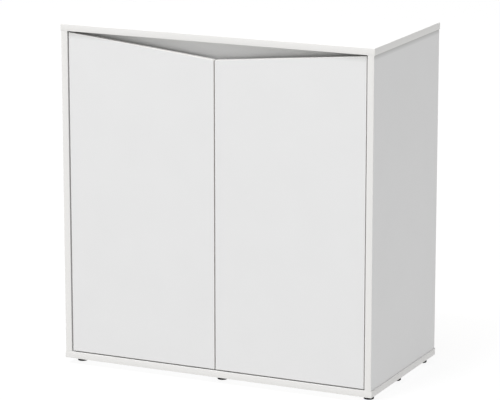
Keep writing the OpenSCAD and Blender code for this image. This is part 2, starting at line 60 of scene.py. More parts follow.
camera = bpy.data.objects.new("camera", bpy.data.cameras.new("camera"))
camera.data.sensor_width = SENSOR_MM
camera.data.lens = LENS_MM
camera.data.clip_end = 200.0
camera.location = CAMERA_AT
camera.rotation_euler = (math.radians(90 - VIEW_ELEVATION), 0.0, math.radians(VIEW_AZIMUTH))
bpy.context.scene.collection.objects.link(camera)
bpy.context.scene.camera = camera

# ---- Studio -----------------------------------------------------------------------------------
# A white studio: a very large softbox overhead, a small one high in front, pale walls all round,
# and a floor of white acrylic lit from below, which keeps the shadow under the cabinet faint.

KEY_LIGHT = {"at": (-1.0, -1.7, 11.5), "size": 8.0, "watts": 1080.0}
FRONT_LIGHT = {"at": (-1.2, -5.0, 9.9), "size": 2.0, "watts": 610.0}
LIGHTS_AIM = (0.0, 0.0, 0.4)
ROOM_LIGHT = 0.36
FLOOR_SIZE = 60.0
FLOOR_GREY = "#505050"
FLOOR_GLOW = 0.89


def linear(hex_colour):
    """Linear RGBA of an sRGB hex colour: each channel to 0..1, then the sRGB curve undone."""
    channels = [int(hex_colour[i:i + 2], 16) / 255 for i in (1, 3, 5)]
    curve = [c / 12.92 if c <= 0.04045 else ((c + 0.055) / 1.055) ** 2.4 for c in channels]
    return (*curve, 1.0)


def add_node(tree, kind, values=None, links=None, **settings):
    """Adds one node: settings are its properties, values its inputs, links its linked inputs.

    Inputs go by name or by number. A Mix node's are 0 for the share, 2 and 3 for the two values
    and 6 and 7 for the two colours.
    """
    node = tree.nodes.new(kind)
    for key, value in settings.items():
        setattr(node, key, value)
    for key, value in (values or {}).items():
        node.inputs[key].default_value = value
    for key, socket in (links or {}).items():
        tree.links.new(socket, node.inputs[key])
    return node


def new_material(name):
    """An empty node material, and its tree."""
    material = bpy.data.materials.new(name)
    material.use_nodes = True
    material.node_tree.nodes.clear()
    return material, material.node_tree


def softbox(name, at, size, watts):
    """A square area light turned to LIGHTS_AIM: its own -Z runs from at to there."""
    light = bpy.data.lights.new(name, "AREA")
    light.size = size
    light.energy = watts
    holder = bpy.data.objects.new(name, light)
    holder.location = at
    east, north, up = np.subtract(LIGHTS_AIM, at)
    holder.rotation_euler = (math.atan2(math.hypot(east, north), -up), 0.0, math.atan2(-east, north))
    bpy.context.scene.collection.objects.link(holder)


softbox("key_softbox", **KEY_LIGHT)
softbox("front_softbox", **FRONT_LIGHT)

world = bpy.data.worlds.new("white_studio")
world.use_nodes = True
world.node_tree.nodes["Background"].inputs["Color"].default_value = (1.0, 1.0, 1.0, 1.0)
world.node_tree.nodes["Background"].inputs["Strength"].default_value = ROOM_LIGHT
bpy.context.scene.world = world
bpy.context.scene.view_settings.view_transform = "Standard"

half_floor = FLOOR_SIZE / 2
floor_corners = [(x * half_floor, y * half_floor, 0.0) for x, y in ((-1, -1), (1, -1), (1, 1), (-1, 1))]
floor_mesh = bpy.data.meshes.new("studio_floor")
floor_mesh.from_pydata(floor_corners, [], [(0, 1, 2, 3)])
floor = bpy.data.objects.new("studio_floor", floor_mesh)
bpy.context.scene.collection.objects.link(floor)

# Backlit acrylic: all but white by its own glow, so that shadows on it stay pale and soft.
acrylic, tree = new_material("backlit_white_acrylic")
shader = add_node(
    tree, "ShaderNodeBsdfPrincipled",
    {"Base Color": linear(FLOOR_GREY), "Roughness": 0.9, "Emission Strength": FLOOR_GLOW,
     "Emission Color": (1.0, 1.0, 1.0, 1.0)},
)
add_node(tree, "ShaderNodeOutputMaterial", links={"Surface": shader.outputs[0]})
floor_mesh.materials.append(acrylic)

# ---- Bottom and top panels --------------------------------------------------------------------
# 16 mm three-layer chipboard with white melamine paper pressed on both faces, cut to size and
# drilled. Their raw rear edges show the core between two thin white skins.

MM = 0.001
MELAMINE_WHITE = "#E1E1E1"
MELAMINE_SHADE = "#DEDEDE"
CHIP_PALE = "#D2B68A"
CHIP_DARK = "#9C7A4E"
SKIN_T = 0.3 * MM
PEARL_GRAIN = 1.2 * MM
SHADE_SIZE = 90 * MM
CHIP_LENGTH = 5.0 * MM
CHIP_THICKNESS = 1.2 * MM


def well_within(tree, along, low, high, margin):
    """Mask of a coordinate that is deeper than a margin between low and high: its distance from
    their middle is less than half their difference, less the margin."""
    shifted = add_node(
        tree, "ShaderNodeMath", {1: (low + high) / 2}, {0: along}, operation="SUBTRACT"
    )
    distance = add_node(
        tree, "ShaderNodeMath", links={0: shifted.outputs[0]}, operation="ABSOLUTE"
    )
    mask = add_node(
        tree, "ShaderNodeMath", {1: (high - low) / 2 - margin}, {0: distance.outputs[0]},
        operation="LESS_THAN",
    )
    return mask.outputs[0]


def faced_board(node_name, axis, painted_top_shadow=None, fade=0.0):
    """Melamine-faced chipboard for one board, whose faces are at right angles to the axis given.

    It looks clean, plain white and half matt, with tan chips wherever the board is cut or bored. A
    point is core where it is deeper than the melamine's thickness; elsewhere it is melamine. Chips
    are Voronoi cells drawn out along the board. The pearl grain is coarser than real paper's, so
    that it shows. Given a tone for the top, the white turns evenly to it over the top fade metres:
    a painted shadow, standing in for the shade under an overhang.
    """
    low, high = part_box(node_name)
    material, tree = new_material("melamine_faced_chipboard_" + node_name)
    place = add_node(tree, "ShaderNodeTexCoord").outputs["Object"]
    along = add_node(tree, "ShaderNodeSeparateXYZ", links={0: place}).outputs
    core = well_within(tree, along[axis], low[axis], high[axis], SKIN_T)
    chip_scale = [1 / CHIP_LENGTH] * 3
    chip_scale[axis] = 1 / CHIP_THICKNESS
    chip_place = add_node(
        tree, "ShaderNodeMapping", {"Scale": chip_scale}, {"Vector": place}
    )
    chips = add_node(
        tree, "ShaderNodeTexVoronoi", {"Scale": 1.0, "Randomness": 1.0},
        {"Vector": chip_place.outputs[0]},
    )
    chip_tone = add_node(tree, "ShaderNodeSeparateColor", links={0: chips.outputs["Color"]})
    chip_colour = add_node(
        tree, "ShaderNodeMix", {6: linear(CHIP_DARK), 7: linear(CHIP_PALE)},
        {0: chip_tone.outputs[0]}, data_type="RGBA",
    )
    shade = add_node(
        tree, "ShaderNodeTexNoise", {"Scale": 1 / SHADE_SIZE, "Detail": 2.0}, {"Vector": place}
    )
    paper = add_node(
        tree, "ShaderNodeMix", {6: linear(MELAMINE_SHADE), 7: linear(MELAMINE_WHITE)},
        {0: shade.outputs[0]}, data_type="RGBA",
    )
    # Painted shadow: towards the board's top end the white is darkened, standing in for the shade under
    # an overhang.
    if painted_top_shadow:
        painted_shadow_share = add_node(
            tree, "ShaderNodeMapRange", {"From Min": high.z - fade, "From Max": high.z},
            {"Value": along[2]},
        )
        paper = add_node(
            tree, "ShaderNodeMix", {7: linear(painted_top_shadow)},
            {0: painted_shadow_share.outputs[0], 6: paper.outputs[2]}, data_type="RGBA",
        )
    colour = add_node(
        tree, "ShaderNodeMix", links={0: core, 6: paper.outputs[2], 7: chip_colour.outputs[2]},
        data_type="RGBA",
    )
    roughness = add_node(
        tree, "ShaderNodeMapRange", {"To Min": 0.40, "To Max": 0.85}, {"Value": core}
    )
    pearl = add_node(
        tree, "ShaderNodeTexNoise", {"Scale": 1 / PEARL_GRAIN, "Detail": 1.0}, {"Vector": place}
    )
    relief = add_node(
        tree, "ShaderNodeMix", links={0: core, 2: pearl.outputs[0], 3: chips.outputs[0]}
    )
    bump = add_node(
        tree, "ShaderNodeBump", {"Strength": 0.25, "Distance": 0.1 * MM},
        {"Height": relief.outputs[0]},
    )
    shader = add_node(
        tree, "ShaderNodeBsdfPrincipled", {"IOR": 1.52},
        {"Base Color": colour.outputs[2], "Roughness": roughness.outputs[0],
         "Normal": bump.outputs[0]},
    )
    add_node(tree, "ShaderNodeOutputMaterial", links={"Surface": shader.outputs[0]})
    return material


def finish_node(node_name, material):
    """Gives a CAD node its one material."""
    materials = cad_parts[node_name].data.materials
    materials.clear()
    materials.append(material)


for board in ("bottom_panel", "top_panel"):
    finish_node(board, faced_board(board, 2))

# ---- Bands of the bottom and top panels -------------------------------------------------------
# 1 mm white ABS edging glued along the front and both ends of each panel by an edge bander. Its
# outer corners are rounded by the scraper, which leaves a fine bright line along them.

BAND_T = 1.0 * MM
BAND_CORNER_R = 0.4 * MM
GLUED_CORNER_R = 0.02 * MM
BAND_ARC_POINTS = 5
SMOOTH_BELOW = math.radians(30)
ABS_WHITE = "#E2E1DF"
ABS_GRAIN = 0.9 * MM


def rounded_outline(corners, radii, steps):
    """A closed outline with each corner replaced by an arc of its radius.

    With u and v the unit vectors from a corner to its neighbours and h half the angle between
    them, the arc's centre is r / sin(h) from the corner along u + v, it starts and ends r / tan(h)
    along u and v, and its points turn evenly from the one to the other about the centre.
    """
    corners = np.asarray(corners, float)
    radii = np.asarray(radii, float)[:, None]
    to_last = np.roll(corners, 1, 0) - corners
    to_next = np.roll(corners, -1, 0) - corners
    to_last /= np.linalg.norm(to_last, axis=1, keepdims=True)
    to_next /= np.linalg.norm(to_next, axis=1, keepdims=True)
    half = np.arccos(np.clip(np.sum(to_last * to_next, 1, keepdims=True), -1, 1)) / 2
    inward = to_last + to_next
    inward /= np.linalg.norm(inward, axis=1, keepdims=True)
    centres = corners + inward * radii / np.sin(half)
    first = corners + to_last * radii / np.tan(half) - centres
    last = corners + to_next * radii / np.tan(half) - centres
    turn = (np.pi - 2 * half)[:, :, None]
    share = np.linspace(0, 1, steps)[None, :, None]
    arcs = first[:, None] * np.sin((1 - share) * turn) + last[:, None] * np.sin(share * turn)
    return (centres[:, None] + arcs / np.sin(turn)).reshape(-1, 2)


def mitres(path, closed):
    """Offsets that shift a path sideways by one unit, to the right of its direction.

    With m and n the unit normals of the two edges that meet at a corner, the corner's offset is
    (m + n) / (1 + m.n). The two ends of an open path keep the normal of their own edge.
    """
    path = np.asarray(path, float)
    edges = np.roll(path, -1, 0) - path
    normals = np.stack([edges[:, 1], -edges[:, 0]], 1)
    normals /= np.linalg.norm(normals, axis=1, keepdims=True)
    before = np.roll(normals, 1, 0)
    if not closed:
        before[0] = normals[0]
        normals[-1] = before[-1]
    return (before + normals) / (1 + np.sum(before * normals, 1, keepdims=True))


def skin(rings, closed=False):
    """A closed surface through a stack of rings of equal length: quads between neighbours.

    The first and last ring are each filled by one face, or joined to each other when closed.
    """
    rings = np.asarray(rings, float)
    count, size = rings.shape[:2]
    index = np.arange(count * size).reshape(count, size)
    start = index if closed else index[:-1]
    end = np.roll(index, -1, 0) if closed else index[1:]
    quads = np.stack([start, np.roll(start, -1, 1), np.roll(end, -1, 1), end], -1)
    faces = quads.reshape(-1, 4).tolist()
    if not closed:
        faces += [index[0].tolist(), index[-1].tolist()]
    return rings.reshape(-1, 3), faces


def new_piece(name, shapes, material):
    """One object from a list of closed surfaces, with faces turned outwards.

    Edges that turn by less than SMOOTH_BELOW are shaded smooth.
    """
    points, faces, first = [], [], 0
    for shape_points, shape_faces in shapes:
        points.append(shape_points)
        faces += [[corner + first for corner in face] for face in shape_faces]
        first += len(shape_points)
    mesh = bpy.data.meshes.new(name)
    mesh.from_pydata(np.concatenate(points).tolist(), [], faces)
    work = bmesh.new()
    work.from_mesh(mesh)
    bmesh.ops.recalc_face_normals(work, faces=work.faces)
    work.to_mesh(mesh)
    work.free()
    mesh.shade_smooth()
    mesh.set_sharp_from_angle(angle=SMOOTH_BELOW)
    mesh.materials.append(material)
    piece = bpy.data.objects.new(name, mesh)
    bpy.context.scene.collection.objects.link(piece)
    return piece


def band(path, axes, low, high, closed=False):
    """Edging of a board: its profile carried along the board's edge, with mitred corners.

    The path runs along the board's core in the plane of the first two axes, with the outside on
    its right; low and high are the board's faces along the third axis.
    """
    profile = rounded_outline(
        [(0, low), (BAND_T, low), (BAND_T, high), (0, high)],
        [GLUED_CORNER_R, BAND_CORNER_R, BAND_CORNER_R, GLUED_CORNER_R], BAND_ARC_POINTS,
    )
    path = np.asarray(path, float)
    flat = path[:, None] + profile[None, :, :1] * mitres(path, closed)[:, None]
    rings = np.empty((len(path), len(profile), 3))
    rings[..., axes[0]] = flat[..., 0]
    rings[..., axes[1]] = flat[..., 1]
    rings[..., axes[2]] = profile[None, :, 1]
    return skin(rings, closed)


# ABS edging: one even white, a little warmer and glossier than the melamine beside it.
abs_edging, tree = new_material("white_abs_edging")
place = add_node(tree, "ShaderNodeTexCoord").outputs["Object"]
grain = add_node(
    tree, "ShaderNodeTexNoise", {"Scale": 1 / ABS_GRAIN, "Detail": 1.0}, {"Vector": place}
)
gloss = add_node(
    tree, "ShaderNodeMapRange", {"To Min": 0.32, "To Max": 0.40}, {"Value": grain.outputs[0]}
)
bump = add_node(
    tree, "ShaderNodeBump", {"Strength": 0.2, "Distance": 0.05 * MM}, {"Height": grain.outputs[0]}
)
shader = add_node(
    tree, "ShaderNodeBsdfPrincipled", {"Base Color": linear(ABS_WHITE), "IOR": 1.54},
    {"Roughness": gloss.outputs[0], "Normal": bump.outputs[0]},
)
add_node(tree, "ShaderNodeOutputMaterial", links={"Surface": shader.outputs[0]})

for panel in ("bottom", "top"):
    low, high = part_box(panel + "_panel")
    edge = [(low.x, high.y), (low.x, low.y), (high.x, low.y), (high.x, high.y)]
    piece = new_piece(
        panel + "_panel_edging", [band(edge, (0, 1, 2), low.z, high.z)], abs_edging
    )
    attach(piece, "cabinet")
    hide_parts(panel + "_edge_bands")

# ---- Side panels, centre partition and front rail ---------------------------------------------
# The same faced chipboard. The uprights stand between the two panels, and the rail ties them at
# the front behind the doors' sloping tops. Their borings, their raw rear edges and the rebates
# of the sides, which take the back, show the core.

# Painted shadow: the sides and the rail darken towards their tops, standing in for the shade under the
# top panel's overhang.
SIDE_PAINTED_SHADOW, SIDE_SHADOW_FADE = "#B8B8B6", 12 * MM
RAIL_PAINTED_SHADOW, RAIL_SHADOW_FADE = "#CECECC", 45 * MM

for board in ("left_side_panel", "right_side_panel"):
    finish_node(board, faced_board(board, 0, SIDE_PAINTED_SHADOW, SIDE_SHADOW_FADE))
finish_node("centre_partition", faced_board("centre_partition", 0))
finish_node("front_rail", faced_board("front_rail", 1, RAIL_PAINTED_SHADOW, RAIL_SHADOW_FADE))

# ---- Bands of the uprights and the rail -------------------------------------------------------
# The same ABS edging in straight strips: on the front edges of the uprights, and on the lower
# edge of the rail, which is seen from below when the doors are open.

NOTCH_CLEARANCE = 0.5 * MM

rail_low, rail_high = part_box("front_rail")
strips = []
for board in ("left_side_panel", "right_side_panel"):
    low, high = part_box(board)
    strips.append(band([(low.z, low.y), (high.z, low.y)], (2, 1, 0), low.x, high.x))
low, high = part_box("centre_partition")
below_rail = rail_low.z - BAND_T - NOTCH_CLEARANCE
strips.append(band([(low.z, low.y), (below_rail, low.y)], (2, 1, 0), low.x, high.x))
piece = new_piece("upright_edging", strips, abs_edging)
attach(piece, "cabinet")
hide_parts("upright_edge_bands")

rail_edge = [(rail_low.x, rail_low.z), (rail_high.x, rail_low.z)]
piece = new_piece(
    "rail_edging", [band(rail_edge, (0, 2, 1), rail_low.y, rail_high.y)], abs_edging
)
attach(piece, "cabinet")
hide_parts("rail_edge_band")

# ---- Cam fittings -----------------------------------------------------------------------------
# A steel bolt screwed into one board's face is drawn tight by a die-cast zinc cam sunk in the
# other board. The bolt is hidden in the joint, and a moulded white cap clips over the cam.

CAM_REACH = 34 * MM
CAM_INSET = 70 * MM
RAIL_CAM_RISE = 24 * MM
CAP_R = 8.6 * MM
CAP_T = 0.9 * MM
CAP_RIM_R = 0.5 * MM
CAP_DISH_R = 6.8 * MM
CAP_DISH_DEPTH = 0.2 * MM
CAP_MIDDLE_R = 0.85 * MM
CAP_SIDES = 40
PLATING_GRAIN = 1.5 * MM
GLOSS_SPREAD = 0.05


def turned(profile, sides):
    """Rings of a turned shape: each profile point (r, h) becomes the ring (r cos, r sin, h)."""
    angle = np.arange(sides) * 2 * np.pi / sides
    radius, height = np.asarray(profile, float).T[:, :, None]
    return np.stack([radius * np.cos(angle), radius * np.sin(angle), height + 0 * angle], -1)


def stand(rings, at, axis, sign=1):
    """Stands rings on the point at, with their own height along one axis, up or down by sign."""
    return np.insert(rings[..., :2], axis, sign * rings[..., 2], axis=-1) + np.asarray(at)


def quarter(radius, from_angle, steps=4):
    """Points of a quarter circle about (0, 0): radius times (cos, sin), anticlockwise."""
    angle = np.linspace(from_angle, from_angle + np.pi / 2, steps)
    return radius * np.stack([np.cos(angle), np.sin(angle)], 1)


def metal(name, dull, bright, grain, rough_low, rough_high, relief):
    """A metal surface with soft blotches in tone and gloss, one grain across.

    Noise on the object's own coordinates mixes the two tones and the two roughness values, and
    lifts the surface by the relief given.
    """
    material, tree = new_material(name)
    place = add_node(tree, "ShaderNodeTexCoord").outputs["Object"]
    blotch = add_node(
        tree, "ShaderNodeTexNoise", {"Scale": 1 / grain, "Detail": 3.0}, {"Vector": place}
    )
    colour = add_node(
        tree, "ShaderNodeMix", {6: linear(dull), 7: linear(bright)}, {0: blotch.outputs[0]},
        data_type="RGBA",
    )
    gloss = add_node(
        tree, "ShaderNodeMapRange", {"To Min": rough_low, "To Max": rough_high},
        {"Value": blotch.outputs[0]},
    )
    bump = add_node(
        tree, "ShaderNodeBump", {"Strength": 0.3, "Distance": relief}, {"Height": blotch.outputs[0]}
    )
    shader = add_node(
        tree, "ShaderNodeBsdfPrincipled", {"Metallic": 1.0},
        {"Base Color": colour.outputs[2], "Roughness": gloss.outputs[0],
         "Normal": bump.outputs[0]},
    )
    add_node(tree, "ShaderNodeOutputMaterial", links={"Surface": shader.outputs[0]})
    return material


def plastic(name, colour, grain, roughness, relief, **own):
    """A moulded plastic: one colour, and the fine grain of its mould as bump and gloss.

    The settings in own go to the shader's sockets by name, such as Transmission Weight.
    """
    material, tree = new_material(name)
    place = add_node(tree, "ShaderNodeTexCoord").outputs["Object"]
    spark = add_node(
        tree, "ShaderNodeTexNoise", {"Scale": 1 / grain, "Detail": 2.0}, {"Vector": place}
    )
    gloss = add_node(
        tree, "ShaderNodeMapRange",
        {"To Min": roughness - GLOSS_SPREAD, "To Max": roughness + GLOSS_SPREAD},
        {"Value": spark.outputs[0]},
    )
    bump = add_node(
        tree, "ShaderNodeBump", {"Strength": 0.5, "Distance": relief}, {"Height": spark.outputs[0]}
    )
    shader = add_node(
        tree, "ShaderNodeBsdfPrincipled", {"Base Color": linear(colour), **own},
        {"Roughness": gloss.outputs[0], "Normal": bump.outputs[0]},
    )
    add_node(tree, "ShaderNodeOutputMaterial", links={"Surface": shader.outputs[0]})
    return material


# Zamak casting: grey and dull, with the slightly grainy skin of the die.
zinc_casting = metal(
    "zinc_die_casting", dull="#8E9193", bright="#A9ABAD", grain=0.6 * MM,
    rough_low=0.42, rough_high=0.55, relief=0.04 * MM,
)
# Bright zinc plating on turned or cold-headed steel: pale, with a satin, faintly clouded gloss.
plated_steel = metal(
    "zinc_plated_steel", dull="#AEB1B4", bright="#C4C6C8", grain=PLATING_GRAIN,
    rough_low=0.24, rough_high=0.36, relief=0.01 * MM,
)
# Polyethylene caps: soft white, waxy, with an even satin skin.
cap_plastic = plastic(
    "white_polyethylene_cap", colour="#E9E9E7", grain=0.5 * MM, roughness=0.45, relief=0.02 * MM,
    IOR=1.51,
)

finish_node("cam_housings", zinc_casting)
finish_node("cam_bolts", plated_steel)

cap_profile = np.concatenate([
    [(CAP_R, 0)],
    quarter(CAP_RIM_R, 0) + (CAP_R - CAP_RIM_R, CAP_T - CAP_RIM_R),
    [(CAP_DISH_R + CAP_DISH_DEPTH, CAP_T), (CAP_DISH_R, CAP_T - CAP_DISH_DEPTH),
     (CAP_MIDDLE_R, CAP_T - CAP_DISH_DEPTH)],
])
left_low, left_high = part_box("left_side_panel")
right_low, right_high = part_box("right_side_panel")
middle_low, middle_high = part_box("centre_partition")
upright_front_y = left_low.y - BAND_T
cam_ys = (upright_front_y + CAM_INSET, middle_high.y - CAM_INSET)
cam_zs = (left_low.z + CAM_REACH, left_high.z - CAM_REACH)
cap_rings = turned(cap_profile, CAP_SIDES)
caps = []
for y in cam_ys:
    for z in cam_zs:
        for x, sign in ((left_high.x, 1), (right_low.x, -1), (middle_low.x, -1)):
            caps.append(skin(stand(cap_rings, (x, y, z), 0, sign)))
rail_cam_z = rail_low.z - BAND_T + RAIL_CAM_RISE
for x in (left_high.x + CAM_REACH, right_low.x - CAM_REACH):
    caps.append(skin(stand(cap_rings, (x, rail_high.y, rail_cam_z), 1)))
piece = new_piece("cam_caps", caps, cap_plastic)
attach(piece, "cabinet")
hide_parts("cam_cover_caps")

# ---- Wooden dowels ----------------------------------------------------------------------------
# Turned beech dowels, 8 by 30 mm, fluted so that glue can rise round them. They are driven into
# the ends of the uprights and of the rail, beside the cam bolts.

DOWEL_R = 4.0 * MM
DOWEL_LEN = 30.0 * MM
DOWEL_IN_FACE = 10.5 * MM
DOWEL_PITCH = 32.0 * MM
DOWEL_CHAMFER = 0.9 * MM
FLUTES = 16
FLUTE_SIDES = 6
FLUTE_DEPTH = 0.3 * MM
FLUTE_SHARPNESS = 8
BEECH_PALE = "#D9B78C"
BEECH_DARK = "#B98D5F"
BEECH_FLECK = 1.6 * MM
RAIL_DOWEL_RISE = 56 * MM


def rod(radius, low, high, edge):
    """Profile of a rod with chamfered ends, for turned: the ends are drawn in by edge."""
    return [(radius - edge, low), (radius, low + edge), (radius, high - edge), (radius - edge, high)]


# Beech: a warm tan with short darker flecks, dull from sanding.
beech, tree = new_material("beech_dowel_wood")
place = add_node(tree, "ShaderNodeTexCoord").outputs["Object"]
fleck = add_node(
    tree, "ShaderNodeTexNoise", {"Scale": 1 / BEECH_FLECK, "Detail": 4.0, "Roughness": 0.7},
    {"Vector": place},
)
colour = add_node(
    tree, "ShaderNodeMix", {6: linear(BEECH_DARK), 7: linear(BEECH_PALE)},
    {0: fleck.outputs[0]}, data_type="RGBA",
)
bump = add_node(
    tree, "ShaderNodeBump", {"Strength": 0.4, "Distance": 0.1 * MM}, {"Height": fleck.outputs[0]}
)
shader = add_node(
    tree, "ShaderNodeBsdfPrincipled", {"Roughness": 0.7},
    {"Base Color": colour.outputs[2], "Normal": bump.outputs[0]},
)
add_node(tree, "ShaderNodeOutputMaterial", links={"Surface": shader.outputs[0]})

dowel_rings = turned(rod(DOWEL_R, 0, DOWEL_LEN, DOWEL_CHAMFER), FLUTE_SIDES * FLUTES)
half_turns = np.arange(FLUTE_SIDES * FLUTES) * np.pi / FLUTE_SIDES
flute = FLUTE_DEPTH / DOWEL_R * np.sin(half_turns) ** FLUTE_SHARPNESS
dowel_rings[..., :2] *= (1 - flute)[None, :, None]
dowel_start = DOWEL_LEN - DOWEL_IN_FACE
upright_xs = [(left_low.x + left_high.x) / 2, 0.0, (right_low.x + right_high.x) / 2]
rail_mid_y = (rail_low.y + rail_high.y) / 2
dowels = []
for x in upright_xs:
    for y in (cam_ys[0] + DOWEL_PITCH, cam_ys[1] - DOWEL_PITCH):
        for face_z, sign in ((left_high.z, 1), (left_low.z, -1)):
            dowels.append((x, y, face_z - sign * dowel_start, 2, sign))
for side in (-1, 1):
    dowels.append((side * rail_high.x / 2, rail_mid_y, rail_high.z - dowel_start, 2, 1))
    dowels.append((side * (rail_high.x - dowel_start), rail_mid_y,
                   rail_low.z - BAND_T + RAIL_DOWEL_RISE, 0, side))
piece = new_piece(
    "fluted_dowels",
    [skin(stand(dowel_rings, (x, y, z), axis, sign)) for x, y, z, axis, sign in dowels], beech,
)
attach(piece, "cabinet")
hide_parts("wooden_dowels")

# ---- Back panels ------------------------------------------------------------------------------
# Two halves of 3 mm hardboard, white lacquer towards the inside and bare pressed fibre behind,
# with a punched hole for hoses in each. They meet on the partition, lie in the rebates of the
# sides, and stiffen the cabinet.

LACQUER_WHITE = "#E4E4E2"
LACQUER_T = 0.2 * MM
FIBRE_PALE = "#B9966C"
FIBRE_DARK = "#96744E"
FIBRE_SIZE = 2.2 * MM
FIBRE_CLOUD = 45 * MM
CLOUD_SHARE = 0.35


def hardboard(node_name):
    """Hardboard lacquered on its front face: half-gloss white inside, dull mottled brown behind.

    A point is fibre where it is more than the lacquer's thickness behind the front face. Fibre is
    fine noise over wide, faint clouds of a second noise.
    """
    material, tree = new_material("white_faced_hardboard_" + node_name)
    place = add_node(tree, "ShaderNodeTexCoord").outputs["Object"]
    along = add_node(tree, "ShaderNodeSeparateXYZ", links={0: place}).outputs[1]
    bare = add_node(
        tree, "ShaderNodeMath", {1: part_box(node_name)[0].y + LACQUER_T}, {0: along},
        operation="GREATER_THAN",
    )
    fibre = add_node(
        tree, "ShaderNodeTexNoise", {"Scale": 1 / FIBRE_SIZE, "Detail": 4.0, "Roughness": 0.65},
        {"Vector": place},
    )
    cloud = add_node(
        tree, "ShaderNodeTexNoise", {"Scale": 1 / FIBRE_CLOUD, "Detail": 2.0}, {"Vector": place}
    )
    tone = add_node(
        tree, "ShaderNodeMix", {0: CLOUD_SHARE}, {2: fibre.outputs[0], 3: cloud.outputs[0]}
    )
    brown = add_node(
        tree, "ShaderNodeMix", {6: linear(FIBRE_DARK), 7: linear(FIBRE_PALE)},
        {0: tone.outputs[0]}, data_type="RGBA",
    )
    colour = add_node(
        tree, "ShaderNodeMix", {6: linear(LACQUER_WHITE)},
        {0: bare.outputs[0], 7: brown.outputs[2]}, data_type="RGBA",
    )
    gloss = add_node(
        tree, "ShaderNodeMapRange", {"To Min": 0.38, "To Max": 0.75}, {"Value": bare.outputs[0]}
    )
    bump = add_node(
        tree, "ShaderNodeBump", {"Strength": 0.3, "Distance": 0.15 * MM},
        {"Height": fibre.outputs[0]},
    )
    shader = add_node(
        tree, "ShaderNodeBsdfPrincipled", {"IOR": 1.5},
        {"Base Color": colour.outputs[2], "Roughness": gloss.outputs[0],
         "Normal": bump.outputs[0]},
    )
    add_node(tree, "ShaderNodeOutputMaterial", links={"Surface": shader.outputs[0]})
    return material


for half in ("left_back_panel", "right_back_panel"):
    finish_node(half, hardboard(half))

# ---- Screws of the back panels ----------------------------------------------------------------
# Cold-headed steel chipboard screws with a cross recess and a rolled thread, zinc plated. They
# hold the back halves to the sides and the partition, five to each edge.

BACK_SCREW_XS = (4.0 * MM, 386.0 * MM)
BACK_SCREW_END = 25 * MM
BACK_SCREW_ROWS = 5
BACK_SCREW_HEAD = (3.2 * MM, 1.6 * MM)
BACK_SCREW_SHANK = (1.5 * MM, 16 * MM)
SCREW_SIDES = 40
HEAD_ROWS = 10
HEAD_MIDDLE = 0.06
HEAD_FALL = 0.45
RECESS_HALF_WIDTH = 0.45 * MM
RECESS_SOFT = 0.25 * MM
RECESS_REACH = 0.55
RECESS_DEPTH = 0.65
THREAD_PITCH = 0.9
THREAD_ROWS = 5
THREAD_ROOT = 0.75
TIP_LENGTH = 1.5
TIP_R = 0.1


def screw(head, shank):
    """Rings of a pan-head screw with its seat at height 0, from the recess down to the tip.

    Head: the top falls by HEAD_FALL of its height with the cube of the radius, less the recess,
    which lies where the smaller of |x| and |y| is under its half width and the larger is under its
    reach. Shank: the radius is a triangle wave of height / pitch + angle / turn between root and
    crest, times a taper down to the tip. Reach is a share of the head's radius; pitch, root, tip
    and tip length are shares of the shank's.
    """
    head_r, head_h = head
    shank_r, length = shank
    angle = np.arange(SCREW_SIDES) * 2 * np.pi / SCREW_SIDES
    share = np.linspace(HEAD_MIDDLE, 1, HEAD_ROWS)[:, None]
    x, y = head_r * share * np.cos(angle), head_r * share * np.sin(angle)
    across = np.minimum(abs(x), abs(y))
    along = np.maximum(abs(x), abs(y))
    wing = np.clip((RECESS_HALF_WIDTH - across) / RECESS_SOFT + 0.5, 0, 1)
    reach = np.clip((RECESS_REACH * head_r - along) / RECESS_SOFT + 0.5, 0, 1)
    top = head_h * (1 - HEAD_FALL * share ** 3 - RECESS_DEPTH * wing * reach)
    dome = np.stack([x, y, top], -1)
    seat = turned([(head_r, 0)], SCREW_SIDES)
    pitch = THREAD_PITCH * shank_r
    depth = np.linspace(0, length, int(THREAD_ROWS * length / pitch))[:, None]
    wave = 1 - 2 * abs((depth / pitch + angle / (2 * np.pi)) % 1 - 0.5)
    taper = np.clip((length - depth) / (TIP_LENGTH * shank_r), TIP_R, 1)
    radius = shank_r * taper * (THREAD_ROOT + (1 - THREAD_ROOT) * wave)
    thread = np.stack([radius * np.cos(angle), radius * np.sin(angle), -depth + 0 * angle], -1)
    return np.concatenate([dome, seat, thread])


back_rear_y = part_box("right_back_panel")[1].y
back_screw = screw(BACK_SCREW_HEAD, BACK_SCREW_SHANK)
screws = [
    skin(stand(back_screw, (side * x, back_rear_y, z), 1))
    for side in (-1, 1)
    for x in BACK_SCREW_XS
    for z in np.linspace(left_low.z + BACK_SCREW_END, left_high.z - BACK_SCREW_END, BACK_SCREW_ROWS)
]
piece = new_piece("back_screws", screws, plated_steel)
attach(piece, "cabinet")
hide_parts("back_panel_screws")

# ---- Shelf and its pins -----------------------------------------------------------------------
# One loose shelf of the same board, banded on its front edge only. It lies on the flats of four
# nickel-plated pins, which push into rows of 5 mm holes 32 mm apart.

PIN_R = 2.5 * MM
PIN_STEM = 8 * MM
PIN_COLLAR_R = 4 * MM
PIN_COLLAR_T = 1.5 * MM
PIN_TONGUE_R = 3.7 * MM
PIN_HEAD = 8 * MM
PIN_FLAT = 3 * MM
PIN_FROM_FRONT = 95 * MM
PIN_FROM_REAR = 46 * MM
PIN_EDGE = 0.5 * MM
PIN_SIDES = 32

finish_node("shelf", faced_board("shelf", 2))
shelf_low, shelf_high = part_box("shelf")
shelf_edge = [(shelf_low.x, shelf_low.y), (shelf_high.x, shelf_low.y)]
piece = new_piece(
    "shelf_edging", [band(shelf_edge, (0, 1, 2), shelf_low.z, shelf_high.z)], abs_edging
)
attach(piece, "cabinet")
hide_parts("shelf_edge_band")

